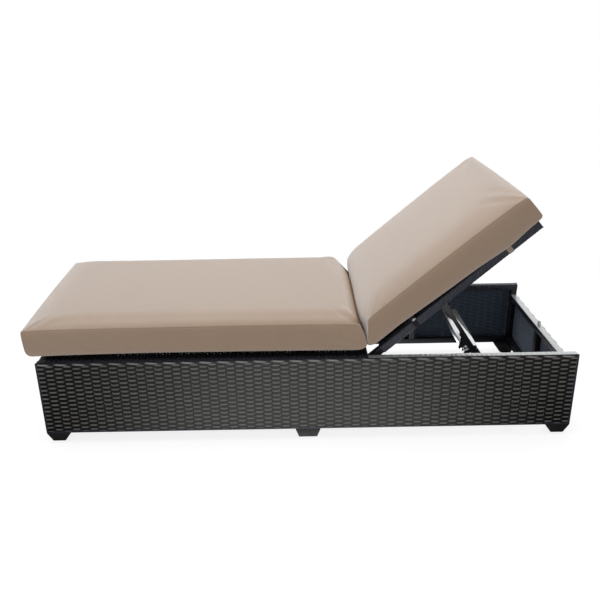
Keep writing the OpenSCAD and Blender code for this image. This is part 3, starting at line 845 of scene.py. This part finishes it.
back_deck_start = back_l * 0.09 - tube
back_deck_end = back_l - wrap - skin
back_deck, lo, hi = deck_sheet("back_deck_wicker", 2 * (back_out - wrap + 0.0008),
                               back_deck_end - back_deck_start, columns=16, thick=0.0011, rise=0.0011)
put(back_deck, (back_deck_start - lo[0], -(lo[1] + hi[1]) / 2, wrap / 2 - hi[2]))
hand_in(on_back(back_deck), deck_resin, "backrest", "deck_wicker", "back_deck_weave")


# Cushions, made as a block from -1 to 1 along each axis and then formed.
# On the block, places nearer than this are the same.
same = 0.0001
half_wide = 0.385
side_limit = 0.390
# Between the underside and the deck, and how far the boxing bulges
belly_gap = 0.0006
bulge = 0.004
# The sewn groove along the seams
seam_w = 0.0032
groove_deep = 0.0013
# The filling's push: its frames, the furthest it moves a point, and how firmly the seams hold
swell_frames = 20
swell_cap = 0.009
seam_hold = 0.6


def on_face(value):
    """Whether a place along an axis of the block lies on its outer faces"""
    return np.abs(value) > 1 - same


def padded_block(name, cells):
    """The block, with faces divided into a grid"""
    let_go()
    bpy.ops.mesh.primitive_cube_add(size=2, location=(0, 0, 0))
    piece = named(name)
    for axis, count in enumerate(cells):
        pick(piece, lambda a, b: abs(a[axis] - b[axis]) > same, "EDGE")
        bpy.ops.mesh.subdivide(number_cuts=count - 1)
        done()
    return piece


def tuck(far):
    """How deep the underside hangs at a distance from its seam: it slopes in, then lies flat"""
    return np.sin(np.pi / 2 * np.clip(far / 0.100, 0, 1)) ** 1.3


def close_rows(t):
    """Rows of the grid lie closer together towards both ends"""
    return t + 0.6 * ((1 - np.cos(np.pi * t)) / 2 - t)


def round_off(along, up, reach_along, reach_up, weight):
    """Distances from a corner, pulled round it as far as the weight says"""
    p = np.clip(1 - along / reach_along, 0, 1)
    q = np.clip(1 - up / reach_up, 0, 1)
    new_along = reach_along * (1 - p * np.sqrt(1 - q * q / 2))
    new_up = reach_up * (1 - q * np.sqrt(1 - p * p / 2))
    inside = (p > 0) & (q > 0)
    return (along + np.where(inside, (new_along - along) * weight, 0),
            up + np.where(inside, (new_up - up) * weight, 0))


def shares(co):
    """Share of the way along, place across from -1 to 1, and share of the way up"""
    return close_rows((co[:, 0] + 1) / 2), 2 * close_rows((co[:, 1] + 1) / 2) - 1, (co[:, 2] + 1) / 2


def line_at(places, line):
    """Heights of a drawn line, a list of (place, height) pairs, at these places"""
    return np.interp(places, *zip(*line))


def layered(w, under, low, high, top):
    """Heights from the underside over the two seams to the top"""
    return np.where(w > 0.9999, top, np.where(w < 0.0001, under, low + (high - low) * w))


def half_width(widest, t):
    """Half the width, a little less in the middle of the length"""
    return widest - 0.003 * (1 - np.abs(2 * t - 1) ** 10)


seat_low_seam = [(-1.021, 0.3735), (-1.0, 0.3725), (-0.74, 0.377), (-0.56, 0.379), (-0.19, 0.378),
                 (0.17, 0.376)]
seat_high_seam = [(-1.021, 0.4735), (-0.949, 0.4765), (-0.822, 0.4775), (-0.532, 0.4770), (0.173, 0.4780)]
back_low_seam = [(0.03, 0.048), (0.10, 0.050), (0.176, 0.0505), (0.286, 0.043), (0.38, 0.037), (0.465, 0.033),
                 (0.518, 0.030), (0.60, 0.022), (0.63, 0.0185), (0.66, 0.020), (0.717, 0.026), (0.783, 0.029)]
back_high_seam = [(0.10, 0.1425), (0.24, 0.141), (0.415, 0.1375), (0.585, 0.133), (0.75, 0.126),
                  (0.783, 0.121)]
# Where the back's lower end stands at each height in the back frame's axes
back_facing = [(0.03, 0.2335), (0.05, 0.232), (0.075, 0.230), (0.10, 0.222), (0.12, 0.2155), (0.135, 0.2125),
               (0.158, 0.2125), (0.172, 0.219)]


def seat_form(co):
    """Seat cushion: box cushion with a crowned top that rolls down into the crease"""
    t, v, w = shares(co)
    side, foot = np.abs(v), 1 - t
    near = np.sin(np.pi / 2 * np.clip((1 - v) / 0.9, 0, 1)) ** 2
    corner = np.clip(-v, 0, 1) ** 10
    x0 = -1.0370 - 0.0150 * v - 0.008 * (1 - v * v)
    end_x = 0.2295 + 0.002 * near + 0.004 * corner
    x = x0 + (end_x - x0) * t
    y = v * half_width(0.3845, t)
    seam_low = line_at(x, seat_low_seam)
    seam_high = line_at(x, seat_high_seam) + 0.0025 * (v + 1)
    crown = 0.021 * (1 - side ** 34) * (1 - foot ** 26)
    top_high = seam_high + crown + 0.004 * (1 - side ** 3) * (1 - foot ** 6)
    start, power = 0.148 + 0.022 * near, 1.45 + 3.6 * near
    roll = np.clip((x - start) / (end_x - start), 0, 1) ** power
    end_z = 0.4060 + 0.010 * near
    top = top_high + (end_z - top_high) * roll
    edge = seam_high + (end_z - seam_high) * roll
    inward = np.minimum(np.minimum(half_wide * (1 - side), 1.25 * foot), 3.1 * (1 - foot))
    belly = (seam_low - deck_hi.z - belly_gap) * tuck(inward)
    z = layered(w, seam_low - belly, seam_low, edge, top)
    low_x = 0.2345 + 0.003 * corner
    x += (low_x - end_x) * (1 - w) * t ** 20
    weight = side ** 8
    low_end = x0 + 0.007 * (1 - w) * weight
    along, up = round_off(x - x0, z - seam_low, 0.017, 0.020, weight)
    x, z = x0 + along + (low_end - x0) * foot ** 20, seam_low + up
    along, up = round_off(low_x - x, z - seam_low, 0.040, 0.030, weight)
    x, z = low_x - along, seam_low + up
    swell = bulge * np.sin(np.pi * w)
    y += np.where(on_face(side), np.sign(v) * swell, 0)
    x -= np.where(on_face(foot), swell * (1 - weight), 0)
    return np.stack([x, y, z], 1)


def back_form(co):
    """Back cushion in the back frame's axes: its lower end stands upright against the seat cushion"""
    t, v, w = shares(co)
    side = np.abs(v)
    corner = np.where(v < 0, side ** 6, side ** 24)
    about = 0.05 + 0.73 * t
    seam_low = line_at(about, back_low_seam)
    seam_high = line_at(about, back_high_seam)
    seam_high += 0.004 * (v + 1) + 0.009 * (1 - v * v) * t ** 8
    crown = 0.022 * (1 - side ** 14) + 0.010 * (1 - side ** 3.2)
    top_high = seam_high + crown * (1 - (1 - t) ** 32) * (1 - t ** 60)
    inward = np.minimum(np.minimum(half_wide * (1 - side), 0.75 * t), 0.75 * (1 - t))
    belly = (seam_low - wrap / 2 - belly_gap) * tuck(inward)
    h = layered(w, seam_low - belly, seam_low, seam_high, top_high)

    def lower_end(height):
        """Place along the back of the end that stands upright in the stored position"""
        facing = line_at(height, back_facing)
        facing += (0.2385 - facing) * corner
        return (facing - hinge.x + height * math.sin(back_angle)) / math.cos(back_angle)
    straight, top_end = 0.030, 0.781
    s = straight + (top_end - straight) * t + (lower_end(h) - straight) * (1 - t) ** 5
    weight = side ** 8
    along, up = round_off(s - lower_end(h), h - seam_low, 0.060, 0.034, weight)
    h = seam_low + up
    s = lower_end(h) + along
    along, up = round_off(top_end - s, h - seam_low, 0.014, 0.012, weight)
    s, h = top_end - along, seam_low + up
    y = v * half_width(0.3843, t)
    swell = bulge * np.sin(np.pi * w)
    y += np.where(on_face(side), np.sign(v) * swell, 0)
    s += np.where(on_face(t), swell * (1 - weight), 0)
    return np.stack([s, y, h], 1)


cover_settings = {
    "quality": 6, "mass": 0.3, "tension_stiffness": 25, "compression_stiffness": 25, "shear_stiffness": 8,
    "bending_stiffness": 0.8, "use_pressure": True, "uniform_pressure_force": 4,
    "vertex_group_mass": "held", "vertex_group_shrink": "pull", "shrink_min": 0.0, "shrink_max": 0.012}


def inflate(piece, held, pull):
    """Air pressure swells the cover; the held points stay, and no point moves further than a cap"""
    start = points(piece)
    for name, weights in (("held", held), ("pull", pull)):
        group = piece.vertex_groups.new(name=name)
        for k in np.nonzero(weights > 0.001)[0]:
            group.add([int(k)], float(weights[k]), "REPLACE")
    take(piece)
    cover = piece.modifiers.new("cover", "CLOTH")
    for key, value in cover_settings.items():
        setattr(cover.settings, key, value)
    cover.settings.effector_weights.gravity = 0
    cover.collision_settings.use_collision = False
    cover.collision_settings.use_self_collision = False
    cover.point_cache.frame_start = 1
    cover.point_cache.frame_end = swell_frames
    scene = bpy.context.scene
    for frame_number in range(1, swell_frames + 1):
        scene.frame_set(frame_number)
    bpy.ops.object.modifier_apply(modifier="cover")
    scene.frame_set(1)
    moved = points(piece) - start
    far = np.linalg.norm(moved, axis=1, keepdims=True)
    moved *= swell_cap * np.tanh(far / swell_cap) / np.maximum(far, 1e-9)
    set_points(piece, start + moved)
    piece.vertex_groups.clear()


def stitched(piece, seam_edges):
    """A narrow sewn groove along the seams, and one subdivision of the whole cover"""
    pick(piece, lambda a, b: False, "EDGE")
    mesh = bmesh.from_edit_mesh(piece.data)
    mesh.edges.ensure_lookup_table()
    for k in seam_edges:
        mesh.edges[k].select_set(True)
    bmesh.update_edit_mesh(piece.data)
    bpy.ops.mesh.bevel(offset=seam_w, segments=2, profile=0.5, affect="EDGES", clamp_overlap=True)
    mesh = bmesh.from_edit_mesh(piece.data)
    # The groove's points are marked for the cloth's painted shade
    layer = mesh.verts.layers.float.new("seam")
    groove = [v for v in mesh.verts if v.select and all(f.select for f in v.link_faces)]
    for v in groove:
        v.co -= v.normal * groove_deep
        v[layer] = 1.0
    bmesh.update_edit_mesh(piece.data)
    done()
    modified(piece, "SUBSURF", levels=1, render_levels=1)
    smooth(piece, 60)


def stays_put(flat, crease_side, under_reach):
    """1 where the cover stays put: under it, at its crease end and at the other end's corners"""
    along, across = flat[:, 0] * crease_side, np.abs(flat[:, 1])
    under = (flat[:, 2] < same - 1) & (np.abs(along) < under_reach) & (across < 0.95)
    corner = on_face(across) & (along < same - 1)
    return np.where(under | corner | (along > 1 - same), 1.0, 0.0)


def cushion(name, cells, half_size, form, crease_side, under_reach):
    """A cover of that form, swollen by its filling, with its seams sewn in"""
    piece = padded_block(name, cells)
    flat = points(piece)
    seams = []
    for e in piece.data.edges:
        a, b = (flat[k] for k in e.vertices)
        shared = [on_face(a[axis]) and abs(a[axis] - b[axis]) < same for axis in range(3)]
        if shared[2] and (shared[0] or shared[1]):
            seams.append(e.index)
    set_points(piece, form(flat))
    place_values(piece, (2 * close_rows((flat + 1) / 2) - 1) * half_size)
    point_values(piece, "boxing", 1 - np.abs(flat[:, 2]) ** 8)
    firm = piece.data.attributes.new("crease_edge", "FLOAT", "EDGE")
    for e in piece.data.edges:
        if all(on_face(flat[k][0]) and on_face(flat[k][1]) for k in e.vertices):
            firm.data[e.index].value = 0.75
    pull = np.zeros(len(flat))
    for k in seams:
        pull[list(piece.data.edges[k].vertices)] = 1
    held = np.maximum(stays_put(flat, crease_side, under_reach), seam_hold * pull)
    inflate(piece, held, pull)
    stitched(piece, seams)
    return piece


def keep_clear(piece, lowest=None):
    """No point further out than the side limit, or below what the cushion lies on"""
    co = points(piece)
    if lowest is not None:
        co[:, 2] = np.maximum(co[:, 2], lowest)
    co[:, 1] = np.clip(co[:, 1], -side_limit, side_limit)
    set_points(piece, co)


seat = cushion("seat_cushion_cover", (84, 52, 8), (0.63, half_wide, 0.05), seat_form, 1, 0.96)
back = on_back(cushion("back_cushion_cover", (52, 52, 8), (0.39, half_wide, 0.05), back_form, -1, 0.93))
keep_clear(seat, deck_hi.z + 0.0005)
keep_clear(back)

# Painted crease shade: on the seat's top the cloth darkens and loses its sheen step by step towards the
# crease
crease_shade_start = 0.165
crease_shade_length = 0.048
crease_shade_low = 0.40
crease_shade_wide = 0.374
co = points(seat)
crease_shade_depth = np.clip((co[:, 0] - crease_shade_start) / crease_shade_length, 0, 1) ** 2
crease_shade_depth *= (np.abs(co[:, 1]) < crease_shade_wide) * (co[:, 2] > crease_shade_low)
for piece, depth in ((seat, crease_shade_depth), (back, np.zeros(len(points(back))))):
    point_values(piece, "crease", depth)
    piece.data.materials.clear()
    piece.data.materials.append(tan_cloth)
    for least, finish in crease_shade_cloths:
        edged(piece, finish, lambda face: depth[list(face.vertices)].mean() > least)
    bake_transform(piece)
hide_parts("seat_cushion")
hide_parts("back_cushion")


# Straps that hold the back cushion, each a tape round its rail
def strap(name, s, width, thick):
    """A tape from the cushion's band, round the outer side and the underside of the near rail"""
    out = back_out + 0.0004
    low = -wrap / 2 - 0.0004
    path = [(y - out, height) for y, height in (
        (-0.0022, 0.036), (-0.0010, 0.020), (0, 0.008), (0, low + 0.006), (0.002, low + 0.0012), (0.006, low),
        (wrap - 0.008, low), (wrap - 0.003, low + 0.001), (wrap - 0.0005, low + 0.005),
        (wrap - 0.0005, wrap / 2 - 0.004))]
    let_go()
    bpy.ops.mesh.primitive_plane_add(size=1, location=(0, 0, 0))
    piece = named(name)
    pick(piece, lambda co: co.y > 0)
    bpy.ops.mesh.delete(type="VERT")
    done()
    co = points(piece)
    set_points(piece, [(s + c[0] * width, path[0][0], path[0][1]) for c in co])
    for (y0, h0), (y1, h1) in zip(path, path[1:]):
        pick(piece, lambda c: abs(c.y - y0) < 0.00005 and abs(c.z - h0) < 0.00005)
        bpy.ops.mesh.extrude_region_move(TRANSFORM_OT_translate={"value": (0, y1 - y0, h1 - h0)})
        done()
    outward(piece)
    modified(piece, "SOLIDIFY", thickness=thick, offset=1)
    for share in (-0.32, 0.32):
        cut(piece, (s + share * width, 0, 0), (1, 0, 0))
    modified(piece, "BEVEL", width=thick * 0.3, segments=2, limit_method="ANGLE",
             angle_limit=math.radians(50))
    place_values(piece, points(piece))
    smooth(piece)
    return piece


lower_pair = 0.27
for pair, share, node_name in (("upper", 0.826, "upper_straps"), ("lower", lower_pair, "lower_straps")):
    near_strap = strap(pair + "_near_strap", share * back_l, 0.020, 0.0014)
    far_strap = mirrored(near_strap, pair + "_far_strap")
    both = on_back(joined([near_strap, far_strap], pair + "_tapes"))
    smooth(both)
    hand_in(both, tan_tape if pair == "upper" else dark_tape, "backrest", "strap_fabric", node_name)

# Pale toggles that close the lower pair
let_go()
bpy.ops.mesh.primitive_uv_sphere_add(segments=20, ring_count=12, radius=0.0055)
toggle = named("strap_toggles")
toggle.scale = (1.35, 0.45, 0.8)
settle(toggle)
pick(toggle, lambda co: abs(co.x) < 0.0012)
bpy.ops.transform.resize(value=(1, 0.85, 0.78), center_override=(0, 0, 0))
done()
put(toggle, (lower_pair * back_l + 0.005, -back_out - 0.0042, 0.0195))
toggles = on_back(joined([toggle, mirrored(toggle, "far_toggle")], "strap_toggles"))
smooth(toggles, 50)
hand_in(toggles, nylon, "backrest", "bush_plastic")


# Floor, lamp and background
let_go()
bpy.ops.mesh.primitive_plane_add(size=14, location=(0, 0, 0))
floor = named("studio_floor")
floor_finish, tree, shader = new_finish("studio_floor", (0.74, 0.74, 0.745), 0.9, Specular_IOR_Level=0.1)
grain = noise(tree, place_of(tree), 2.0, 2.0)
speckle = ramp(tree, grain, (0.3, (0.735, 0.735, 0.74)), (0.7, (0.75, 0.75, 0.755)))
tree.links.new(speckle, shader.inputs["Base Color"])
ray = node(tree, "ShaderNodeLightPath")


def lit(strength):
    """A white that glows by itself"""
    return node(tree, "ShaderNodeEmission", {"Color": (1, 1, 1, 1), "Strength": strength}).outputs[0]


def mixed(share, one, two):
    """Two finishes mixed, the second as far as the share says"""
    return node(tree, "ShaderNodeMixShader", {0: share, 1: one, 2: two}).outputs[0]


def eased(value, **ends):
    """A value carried softly from one range to another"""
    inputs = {"Value": value, **{key.replace("_", " "): end for key, end in ends.items()}}
    return node(tree, "ShaderNodeMapRange", inputs, interpolation_type="SMOOTHSTEP").outputs["Result"]


# Straight from the camera the floor is a pale grey that takes shadows, and white further out
pale = node(tree, "ShaderNodeBsdfDiffuse", {"Color": (0.26, 0.26, 0.265, 1)})
plus = node(tree, "ShaderNodeAddShader", {0: pale.outputs[0], 1: lit(0.84)})
far_white = lit(1.0)
spread = node(tree, "ShaderNodeVectorMath", {0: place_of(tree, (0.8, 1, 1))}, operation="LENGTH")
edge = eased(spread.outputs["Value"], From_Min=1.1, From_Max=2.4)
shown = mixed(edge, plus.outputs[0], far_white)
# Painted reflection: in glossy rays the floor glows, brightly under the middle and not at all under the ends,
# so that the strands mirror a pool of light
sideways = node(tree, "ShaderNodeSeparateXYZ", {0: place_of(tree)}).outputs["X"]
painted_reflection_pool = eased(maths(tree, "ABSOLUTE", sideways, 0.0), From_Min=0.25, From_Max=1.05, To_Min=2.80, To_Max=0.0)
painted_reflection = mixed(edge, lit(painted_reflection_pool), far_white)
other = mixed(ray.outputs["Is Glossy Ray"], shader.outputs[0], painted_reflection)
seen = mixed(ray.outputs["Is Camera Ray"], other, shown)
tree.links.new(seen, tree.nodes["Material Output"].inputs["Surface"])
floor.data.materials.append(floor_finish)

world = bpy.data.worlds.new("studio")
bpy.context.scene.world = world
world.use_nodes = True
tree = world.node_tree
sky = tree.nodes["Background"]
ray = node(tree, "ShaderNodeLightPath")
seen = maths(tree, "MAXIMUM", ray.outputs["Is Camera Ray"],
             maths(tree, "MAXIMUM", ray.outputs["Is Glossy Ray"], ray.outputs["Is Transmission Ray"]))
tree.links.new(span(tree, seen, 0.53, 1.0), sky.inputs["Strength"])
sky.inputs["Color"].default_value = (1, 1, 1, 1)

light = bpy.data.lights.new("overhead", "AREA")
light.shape = "RECTANGLE"
light.size = 3.4
light.size_y = 2.6
light.energy = 82
lamp = bpy.data.objects.new("overhead", light)
bpy.context.scene.collection.objects.link(lamp)
lamp.location = (-0.25, 0.3, 3.2)
lamp.rotation_euler = (Vector((0, 0, 0.3)) - lamp.location).to_track_quat("-Z", "Y").to_euler()

bpy.context.scene.view_settings.view_transform = "Standard"
bpy.context.view_layer.update()
